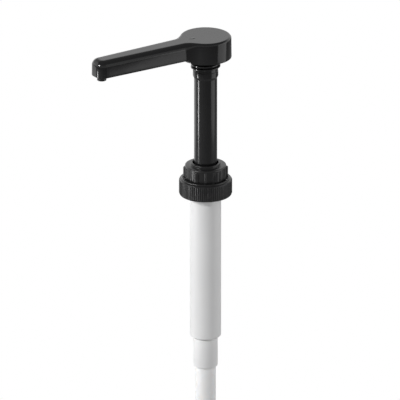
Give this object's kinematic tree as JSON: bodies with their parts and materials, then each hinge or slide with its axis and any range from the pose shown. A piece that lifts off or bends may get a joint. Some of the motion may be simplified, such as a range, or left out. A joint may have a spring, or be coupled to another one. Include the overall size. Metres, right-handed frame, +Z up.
{
  "type": "condiment pump dispenser",
  "caption": "Screw-on condiment pump: round push pad with a long spout, sliding stem, knurled jar closure, white cylinder, foot valve and dip tube.",
  "frame": {"origin": "middle of the jar rim's plane, on the stem's axis, where the neck gasket's underside lies", "axes": "+Z up along the stem, spout points to -X, +Y across"},
  "size_m": [0.1243, 0.042, 0.4155],
  "materials": {
    "black_gloss": "gloss moulded polypropylene",
    "black_satin": "satin moulded polypropylene",
    "white_plastic": "smooth white polypropylene, slightly translucent",
    "natural_tube": "natural polyethylene tube, translucent",
    "seal_rubber": "food-grade rubber, matte",
    "stainless": "bright drawn stainless steel"
  },
  "bodies": {
    "root": {"pump_body": "white_plastic", "neck_gasket": "seal_rubber", "collar_cap": "black_satin", "guide_bushing": "white_plastic", "wiper_seal": "seal_rubber", "foot_valve_housing": "white_plastic", "foot_valve_ring": "seal_rubber", "inlet_ball_keeper": "white_plastic", "dip_tube": "natural_tube", "return_spring": "stainless"},
    "closure": {"screw_closure": "black_satin"},
    "plunger": {"piston": "white_plastic", "piston_ring_upper": "seal_rubber", "piston_ring_lower": "seal_rubber", "spring_washer": "stainless"},
    "head": {"head_shell": "black_gloss", "spout_channel": "black_satin", "head_seal": "seal_rubber", "stem_tube": "black_gloss", "outlet_ball_cage": "white_plastic"},
    "outlet_check": {"outlet_ball": "stainless"},
    "inlet_check": {"inlet_ball": "stainless"}
  },
  "joints": [
    {"name": "closure_turn", "type": "hinge", "parent": "root", "child": "closure", "pos_m": [0, 0, 0], "axis": [0, 0, 1], "continuous": true},
    {"name": "pump_stroke", "type": "slide", "parent": "root", "child": "plunger", "axis": [0, 0, -1], "range_m": [0, 0.078], "stiffness_N_per_m": 200, "springref_m": -0.027, "deforming": ["return_spring"]},
    {"name": "head_swivel", "type": "hinge", "parent": "plunger", "child": "head", "pos_m": [0, 0, 0], "axis": [0, 0, 1], "continuous": true},
    {"name": "outlet_ball_lift", "type": "slide", "parent": "plunger", "child": "outlet_check", "axis": [0, 0, 1], "range_m": [0, 0.004]},
    {"name": "inlet_ball_lift", "type": "slide", "parent": "root", "child": "inlet_check", "axis": [0, 0, 1], "range_m": [0, 0.0035]}
  ]
}
